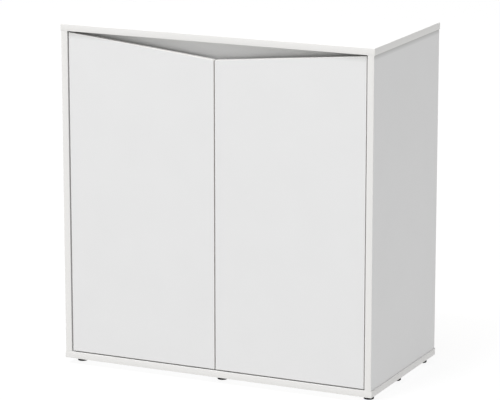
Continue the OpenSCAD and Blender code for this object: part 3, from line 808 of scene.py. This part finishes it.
# Nickel plating on turned steel: warmer and glossier than zinc, with hardly any cloud.
nickelled_steel = metal(
    "nickel_plated_steel", dull="#B9B5AD", bright="#CFCBC3", grain=PLATING_GRAIN,
    rough_low=0.16, rough_high=0.26, relief=0.006 * MM,
)
pin_rings = turned(
    [(PIN_R - PIN_EDGE, -PIN_STEM), (PIN_R, PIN_EDGE - PIN_STEM), (PIN_R, 0),
     (PIN_COLLAR_R, 0), (PIN_COLLAR_R, PIN_COLLAR_T), (PIN_TONGUE_R, PIN_COLLAR_T),
     (PIN_TONGUE_R, PIN_HEAD - PIN_EDGE), (PIN_TONGUE_R - PIN_EDGE, PIN_HEAD)],
    PIN_SIDES,
)
pin_z = shelf_low.z - PIN_FLAT
pins = []
for x, sign in ((middle_high.x, 1), (right_low.x, -1)):
    for y in (upright_front_y + PIN_FROM_FRONT, middle_high.y - PIN_FROM_REAR):
        pin = stand(pin_rings, (x, y, pin_z), 0, sign)
        pin[..., 2] = np.minimum(pin[..., 2], shelf_low.z)
        pins.append(skin(pin))
piece = new_piece("shelf_support_pins", pins, nickelled_steel)
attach(piece, "cabinet")
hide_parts("shelf_pins")

# ---- Feet -------------------------------------------------------------------------------------
# Nine round glides moulded in black polypropylene, 24 mm across and 15 mm high, with a well for
# the screw's head. They keep the bottom panel out of spilt water.

FOOT_R = 12 * MM
FOOT_NECK_R = 10.5 * MM
FOOT_H = 15 * MM
FOOT_SHOULDER = 7.5 * MM
FOOT_EDGE_R = 1.0 * MM
FOOT_WELL_R = 5 * MM
FOOT_FLOOR_T = 6 * MM
FOOT_HOLE_R = 2.1 * MM
FOOT_SIDES = 48
FOOT_XS = (-376 * MM, 0.0, 376 * MM)
FOOT_YS = (-157 * MM, 8.5 * MM, 174 * MM)
FOOT_SCREW_HEAD = (4 * MM, 2.2 * MM)
FOOT_SCREW_SHANK = (2 * MM, 16.5 * MM)

# Black polypropylene: near black and matt, with the fine spark-eroded grain of its mould.
foot_plastic = plastic(
    "black_polypropylene", colour="#050505", grain=0.7 * MM, roughness=0.8, relief=0.06 * MM,
    **{"IOR": 1.49, "Specular IOR Level": 0.1},
)
foot_profile = np.concatenate([
    [(FOOT_HOLE_R, FOOT_H - FOOT_FLOOR_T), (FOOT_WELL_R, FOOT_H - FOOT_FLOOR_T)],
    [(FOOT_WELL_R, FOOT_EDGE_R / 2), (FOOT_WELL_R + FOOT_EDGE_R / 2, 0)],
    quarter(FOOT_EDGE_R, -np.pi / 2) + (FOOT_R - FOOT_EDGE_R, FOOT_EDGE_R),
    [(FOOT_R, FOOT_SHOULDER), (FOOT_NECK_R, FOOT_H), (FOOT_HOLE_R, FOOT_H)],
])
foot_rings = turned(foot_profile, FOOT_SIDES)
foot_screw = screw(FOOT_SCREW_HEAD, FOOT_SCREW_SHANK)
foot_spots = [(x, y) for x in FOOT_XS for y in FOOT_YS]
piece = new_piece(
    "moulded_feet",
    [skin(stand(foot_rings, (x, y, 0), 2), closed=True) for x, y in foot_spots], foot_plastic,
)
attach(piece, "cabinet")
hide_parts("feet")
piece = new_piece(
    "foot_fixing_screws",
    [skin(stand(foot_screw, (x, y, FOOT_H - FOOT_FLOOR_T), 2, -1)) for x, y in foot_spots],
    plated_steel,
)
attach(piece, "cabinet")
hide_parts("foot_screws")

# ---- Door buffers -----------------------------------------------------------------------------
# Two self-adhesive domes of clear polyurethane on the partition's front edge, one low and one
# high, on which both doors come to rest without a knock.

BUFFER_R = 6 * MM
BUFFER_DOME_R = 2.2 * MM
BUFFER_DOME_POINTS = 7
BUFFER_SKIRT = 0.4 * MM
BUFFER_MIDDLE_R = 0.6 * MM
BUFFER_SIDES = 40

# Cast polyurethane: clear and faintly cloudy, with a soft, slightly tacky gloss.
buffer_plastic = plastic(
    "clear_polyurethane", colour="#EEF1F1", grain=1.0 * MM, roughness=0.18, relief=0.01 * MM,
    **{"Transmission Weight": 0.85, "IOR": 1.5},
)
buffer_low, buffer_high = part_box("door_buffers")
buffer_t = buffer_high.y - buffer_low.y
dome_middle = (BUFFER_R - BUFFER_DOME_R - BUFFER_SKIRT / 2, buffer_t - BUFFER_DOME_R)
buffer_profile = np.concatenate([
    [(BUFFER_R, 0), (BUFFER_R, BUFFER_SKIRT)],
    quarter(BUFFER_DOME_R, 0, BUFFER_DOME_POINTS) + dome_middle,
    [(BUFFER_MIDDLE_R, buffer_t)],
])
buffer_rings = turned(buffer_profile, BUFFER_SIDES)
piece = new_piece(
    "polyurethane_buffers",
    [skin(stand(buffer_rings, (0, buffer_high.y, z), 1, -1))
     for z in (buffer_low.z + BUFFER_R, buffer_high.z - BUFFER_R)],
    buffer_plastic,
)
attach(piece, "cabinet")
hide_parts("door_buffers")

# ---- Doors ------------------------------------------------------------------------------------
# Two doors of the same board, inset in the frame, their tops cut on a slope that leaves a wide
# shallow V to take hold of. They are banded all round, with mitred corners.

NOTCH_DROP = 38 * MM
# Painted shadow: the doors darken a little towards their tops, standing in for the shade under the top
# panel.
DOOR_PAINTED_SHADOW, DOOR_SHADOW_FADE = "#CECECC", 14 * MM
DOORS = {"left": -1, "right": 1}

for name, side in DOORS.items():
    board = name + "_door"
    finish_node(board, faced_board(board, 1, DOOR_PAINTED_SHADOW, DOOR_SHADOW_FADE))
    low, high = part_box(board)
    band_low, band_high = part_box(board + "_edge_bands")
    fall = NOTCH_DROP / (band_high.x - band_low.x) * (high.x - low.x)
    left_top, right_top = (high.z, high.z - fall) if side < 0 else (high.z - fall, high.z)
    outline = [(low.x, low.z), (high.x, low.z), (high.x, right_top), (low.x, left_top)]
    piece = new_piece(
        board + "_edging", [band(outline, (0, 2, 1), low.y, high.y, closed=True)], abs_edging
    )
    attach(piece, board)
    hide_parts(board + "_edge_bands")

# ---- Hinges: plates and arms on the side panels -----------------------------------------------
# Concealed hinges for inset doors. A nickelled cross-shaped plate is screwed to the side panel,
# and on it lies the cranked arm, bent from steel strip and curled round the hinge pin.

HINGE_INSET = 110 * MM
# Names in _A run inwards from the door's hinged edge, names in _C back from its front face.
PIN_A, PIN_C = 10 * MM, 7.5 * MM
STOP_C = 21.52 * MM
NECK_A = 24.02 * MM
ARM_T = 2.5 * MM
ARM_HALF_W = 7 * MM
ARM_END_C = 67 * MM
ARM_EDGE = 0.4 * MM
BEND_OUTER_R = 3.2 * MM
BEND_INNER_R = 0.7 * MM
STRIP_END_R = 0.8 * MM
KNUCKLE_R = 2.7 * MM
KNUCKLE_HOLE_R = 1.35 * MM
KNUCKLE_EDGE = 0.2 * MM
KNUCKLE_SIDES = 32
PLATE_T = 3 * MM
PLATE_C = (37 * MM, 69 * MM)
PLATE_BODY_HALF_W = 9 * MM
PLATE_WING_HALF_W = 8 * MM
PLATE_HALF_H = 25 * MM
PLATE_EDGE = 0.5 * MM
PLATE_END_R, PLATE_CROOK_R, PLATE_WING_R = 3 * MM, 2 * MM, 7 * MM
RIM_POINTS = 4
PLATE_ARC_POINTS = 6
PLATE_SCREW_Z = 16 * MM
PLATE_SCREW_HEAD = (3.8 * MM, 1.6 * MM)
PLATE_SCREW_SHANK = (2.5 * MM, 13 * MM)
ARM_SCREW_CS = (44 * MM, 61 * MM)
ARM_SCREW_HEAD = (3.6 * MM, 2 * MM)
ARM_SCREW_SHANK = (2 * MM, 5.5 * MM)


def plate(corners, radii, low, high, edge):
    """Rings of a plate with rounded rims, its outline anticlockwise in the first two axes.

    Each rim is a quarter circle: at a turn t from 0 to 90 degrees the outline is drawn in by
    edge (1 - cos t) and lies edge (1 - sin t) short of the face at low or at high.
    """
    turn = np.linspace(0, np.pi / 2, RIM_POINTS)
    draw_in = edge * (1 - np.cos(turn))
    short = edge * (1 - np.sin(turn))
    inset = np.concatenate([draw_in[::-1], draw_in])
    height = np.concatenate([low + short[::-1], high - short])
    corners = np.asarray(corners, float)
    rings = []
    for shrink, level in zip(inset, height):
        flat = rounded_outline(corners - shrink * mitres(corners, True), radii, PLATE_ARC_POINTS)
        rings.append(np.column_stack([flat, np.full(len(flat), level)]))
    return np.array(rings)


def at_hinge(rings, side, height):
    """Hinge axes to the cabinet's: a inwards from the door's hinged edge, c back from its face."""
    a, c, z = np.moveaxis(rings, -1, 0)
    return np.stack([side * (door_corner_x - a), door_face_y + c, height + z], -1)


door_low, door_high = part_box("right_door_edge_bands")
door_corner_x = door_high.x
door_face_y = door_low.y
hinge_zs = (door_low.z + HINGE_INSET, door_high.z - HINGE_INSET)

front_c, back_c = PIN_C - ARM_T / 2, PIN_C + ARM_T / 2
strip_end_a = PIN_A + (KNUCKLE_HOLE_R + KNUCKLE_R) / 2
arm_outline = [
    (strip_end_a, front_c), (NECK_A + ARM_T, front_c), (NECK_A + ARM_T, STOP_C + ARM_T),
    (ARM_T, STOP_C + ARM_T), (ARM_T, ARM_END_C), (0, ARM_END_C), (0, STOP_C),
    (NECK_A, STOP_C), (NECK_A, back_c), (strip_end_a, back_c),
]
arm_radii = [
    STRIP_END_R / 2, BEND_OUTER_R, BEND_OUTER_R, BEND_INNER_R, STRIP_END_R, STRIP_END_R,
    BEND_OUTER_R, BEND_INNER_R, BEND_INNER_R, STRIP_END_R / 2,
]
arm_rings = plate(arm_outline, arm_radii, -ARM_HALF_W, ARM_HALF_W, ARM_EDGE)
knuckle_rings = turned(
    [(KNUCKLE_HOLE_R, -ARM_HALF_W), (KNUCKLE_R - KNUCKLE_EDGE, -ARM_HALF_W),
     (KNUCKLE_R, KNUCKLE_EDGE - ARM_HALF_W), (KNUCKLE_R, ARM_HALF_W - KNUCKLE_EDGE),
     (KNUCKLE_R - KNUCKLE_EDGE, ARM_HALF_W), (KNUCKLE_HOLE_R, ARM_HALF_W)],
    KNUCKLE_SIDES,
)
knuckle_rings = stand(knuckle_rings, (PIN_A, PIN_C, 0), 2)

body, wing, tip = PLATE_BODY_HALF_W, PLATE_WING_HALF_W, PLATE_HALF_H
plate_mid_c = sum(PLATE_C) / 2
plate_outline = [
    (PLATE_C[0], -body), (plate_mid_c - wing, -body), (plate_mid_c - wing, -tip),
    (plate_mid_c + wing, -tip), (plate_mid_c + wing, -body), (PLATE_C[1], -body),
    (PLATE_C[1], body), (plate_mid_c + wing, body), (plate_mid_c + wing, tip),
    (plate_mid_c - wing, tip), (plate_mid_c - wing, body), (PLATE_C[0], body),
]
half_radii = [PLATE_END_R, PLATE_CROOK_R, PLATE_WING_R]
plate_radii = (half_radii + half_radii[::-1]) * 2
plate_rings = plate(plate_outline, plate_radii, -PLATE_T, 0, PLATE_EDGE)[..., [2, 0, 1]]
plate_screw = screw(PLATE_SCREW_HEAD, PLATE_SCREW_SHANK)
arm_screw = screw(ARM_SCREW_HEAD, ARM_SCREW_SHANK)

for name, side in DOORS.items():
    plates, arms, plate_screws, arm_screws = [], [], [], []
    for z in hinge_zs:
        plates.append(skin(at_hinge(plate_rings, side, z)))
        arms.append(skin(at_hinge(arm_rings, side, z)))
        arms.append(skin(at_hinge(knuckle_rings, side, z), closed=True))
        for up in (-PLATE_SCREW_Z, PLATE_SCREW_Z):
            rings = stand(plate_screw, (0, plate_mid_c, up), 0)
            plate_screws.append(skin(at_hinge(rings, side, z)))
        for c in ARM_SCREW_CS:
            rings = stand(arm_screw, (ARM_T, c, 0), 0)
            arm_screws.append(skin(at_hinge(rings, side, z)))
    for part, shapes in (("plates", plates), ("arms", arms)):
        piece = new_piece(name + "_nickelled_hinge_" + part, shapes, nickelled_steel)
        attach(piece, "cabinet")
        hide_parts(name + "_hinge_" + part)
    for part, shapes in (("plate", plate_screws), ("arm", arm_screws)):
        piece = new_piece(name + "_hinge_" + part + "_fixings", shapes, plated_steel)
        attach(piece, "cabinet")
        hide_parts(name + "_" + part + "_screws")

# ---- Hinges: cups and pins in the doors -------------------------------------------------------
# A deep-drawn nickelled cup pressed into a 35 mm boring, its flange drawn out into two ears for
# the screws. Two cheeks inside it carry the pin on which the door turns.

CUP_A = 21.5 * MM
CUP_R = 17.45 * MM
CUP_WALL = 0.8 * MM
CUP_FLOOR_C = 3.7 * MM
CUP_FILLET = 1.2 * MM
CUP_MIDDLE = 0.05
CUP_SIDES = 96
FLANGE_R = 18.5 * MM
FLANGE_T = 1.2 * MM
FLANGE_EDGE = 0.3 * MM
EAR_SHIFT = 6 * MM
EAR_R = 7.5 * MM
EAR_Z = 24 * MM
CHEEK_Z = (8 * MM, 10 * MM)
CHEEK_A = 15.4 * MM
CHEEK_EDGE = 0.3 * MM
CHEEK_FOOT_R, CHEEK_MID_R, CHEEK_WALL_R = 0.5 * MM, 4 * MM, 3 * MM
HINGE_PIN_R = 1.25 * MM
HINGE_PIN_HALF = 10 * MM
HINGE_PIN_EDGE = 0.3 * MM
HINGE_PIN_SIDES = 24
CUP_SCREW_HEAD = (3.4 * MM, 1.8 * MM)
CUP_SCREW_SHANK = (1.75 * MM, 11 * MM)
NEARLY_NIL = 1e-9


def flange_reach(angle):
    """Distance from the cup's middle to the flange's outline, in each direction.

    The outline is the outermost of a disc and of a stadium along z, whose axis lies EAR_SHIFT
    inwards: a ray leaves the stadium through a straight side, or else through the disc at its end.
    """
    ray_a, ray_z = np.cos(angle), np.sin(angle)
    along = np.where(abs(ray_a) < NEARLY_NIL, NEARLY_NIL, ray_a)
    straight = (EAR_SHIFT + np.sign(along) * EAR_R) / along
    end_z = np.sign(ray_z) * EAR_Z
    towards = ray_a * EAR_SHIFT + ray_z * end_z
    root = np.maximum(towards ** 2 - (EAR_SHIFT ** 2 + end_z ** 2 - EAR_R ** 2), 0)
    stadium = np.where(abs(straight * ray_z) <= EAR_Z, straight, towards + np.sqrt(root))
    return np.maximum(stadium, FLANGE_R)


door_low, door_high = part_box("right_door")
board_t = door_high.y - door_low.y
inner_r = CUP_R - CUP_WALL
inner_floor = CUP_FLOOR_C + CUP_WALL
flange_top = board_t + FLANGE_T
angle = np.arange(CUP_SIDES) * 2 * np.pi / CUP_SIDES
reach = flange_reach(angle)
shell_profile = np.concatenate([
    [(inner_r * CUP_MIDDLE, inner_floor)],
    quarter(CUP_FILLET, -np.pi / 2) + (inner_r - CUP_FILLET, inner_floor + CUP_FILLET),
    [(inner_r, flange_top - FLANGE_EDGE), (inner_r + FLANGE_EDGE, flange_top)],
])
outer_profile = np.concatenate([
    [(CUP_R, board_t)],
    quarter(CUP_FILLET, 0) * (1, -1) + (CUP_R - CUP_FILLET, CUP_FLOOR_C + CUP_FILLET),
    [(CUP_R * CUP_MIDDLE, CUP_FLOOR_C)],
])
flange_rows = [
    np.stack([(reach - draw_in) * np.cos(angle), (reach - draw_in) * np.sin(angle),
              np.full(CUP_SIDES, level)], 1)
    for draw_in, level in ((FLANGE_EDGE, flange_top), (0, flange_top - FLANGE_EDGE), (0, board_t))
]
cup_rings = np.concatenate([
    turned(shell_profile, CUP_SIDES), flange_rows, turned(outer_profile, CUP_SIDES)
])
cup_rings = stand(cup_rings, (CUP_A, 0, 0), 1)

cheek_c = (inner_floor - CUP_WALL / 2, board_t - 2 * HINGE_PIN_R)
cheek_a = (CUP_A - CUP_R + CUP_WALL, CHEEK_A)
cheek_outline = [
    (cheek_a[0] + CUP_FILLET, cheek_c[0]), (cheek_a[1], cheek_c[0]),
    (cheek_a[1], cheek_c[1]), (cheek_a[0] + CUP_FILLET, cheek_c[1]),
]
cheek_radii = [CHEEK_FOOT_R, CHEEK_FOOT_R, CHEEK_MID_R, CHEEK_WALL_R]
hinge_pin = rod(HINGE_PIN_R, -HINGE_PIN_HALF, HINGE_PIN_HALF, HINGE_PIN_EDGE)
hinge_pin_rings = stand(turned(hinge_pin, HINGE_PIN_SIDES), (PIN_A, PIN_C, 0), 2)
cup_screw = screw(CUP_SCREW_HEAD, CUP_SCREW_SHANK)

for name, side in DOORS.items():
    cups, hinge_pins, cup_screws = [], [], []
    for z in hinge_zs:
        cups.append(skin(at_hinge(cup_rings, side, z)))
        for low_z, high_z in (CHEEK_Z, (-CHEEK_Z[1], -CHEEK_Z[0])):
            rings = plate(cheek_outline, cheek_radii, low_z, high_z, CHEEK_EDGE)
            cups.append(skin(at_hinge(rings, side, z)))
        hinge_pins.append(skin(at_hinge(hinge_pin_rings, side, z)))
        for up in (-EAR_Z, EAR_Z):
            rings = stand(cup_screw, (CUP_A + EAR_SHIFT, flange_top, up), 1)
            cup_screws.append(skin(at_hinge(rings, side, z)))
    for part, shapes, material in (
        ("hinge_cups", cups, nickelled_steel),
        ("hinge_pins", hinge_pins, plated_steel),
        ("cup_screws", cup_screws, plated_steel),
    ):
        piece = new_piece(name + "_door_" + part, shapes, material)
        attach(piece, name + "_door")
        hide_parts(name + "_" + part)
